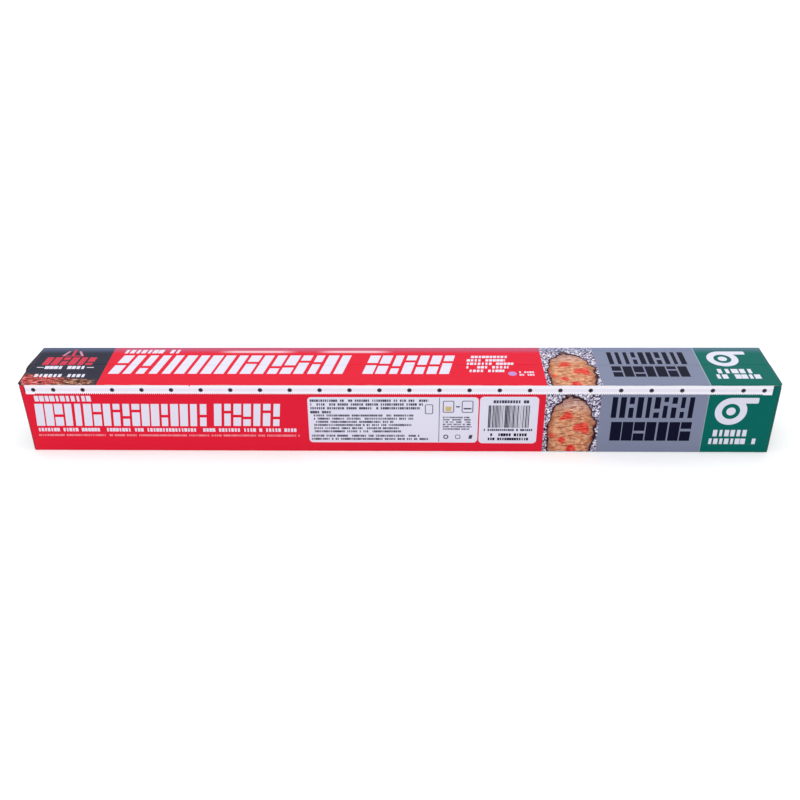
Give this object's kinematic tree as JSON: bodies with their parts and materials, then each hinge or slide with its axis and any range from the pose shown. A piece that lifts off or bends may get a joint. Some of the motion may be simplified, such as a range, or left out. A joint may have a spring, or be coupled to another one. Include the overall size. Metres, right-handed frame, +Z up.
{
  "type": "boxed aluminium foil roll",
  "caption": "Long folded carton holding a roll of kitchen foil on a paper tube, with a hinged half-top lid whose front flap carries a toothed steel cutter strip.",
  "frame": {"origin": "middle of the carton's underside, on the surface it stands on", "axes": "+X along the carton to the end at the right of its front, -Y out of the front panel that the cutter strip hangs over, +Z up"},
  "size_m": [0.4638, 0.0487, 0.0485],
  "materials": {
    "printed_board": "varnished print outside in red, dark grey, grey and green fields, plain grey-white board inside",
    "printed_lid_board": "varnished print outside in red, near-black, grey and green fields, plain grey-white board inside",
    "strip_steel": "bright rolled tinplate",
    "bright_foil": "bright rolled foil, lightly creased",
    "tube_paper": "plain spiral-wound brown paper"
  },
  "bodies": {
    "carton": {"carton_body": "printed_board", "foil_roll": "bright_foil", "core_tube": "tube_paper"},
    "lid": {"lid": "printed_lid_board", "cutter_strip": "strip_steel"}
  },
  "joints": [
    {"name": "lid_hinge", "type": "hinge", "parent": "carton", "child": "lid", "pos_m": [0, 0.0004, 0.0485], "axis": [-1, 0, 0], "range_deg": [0, 165]}
  ]
}
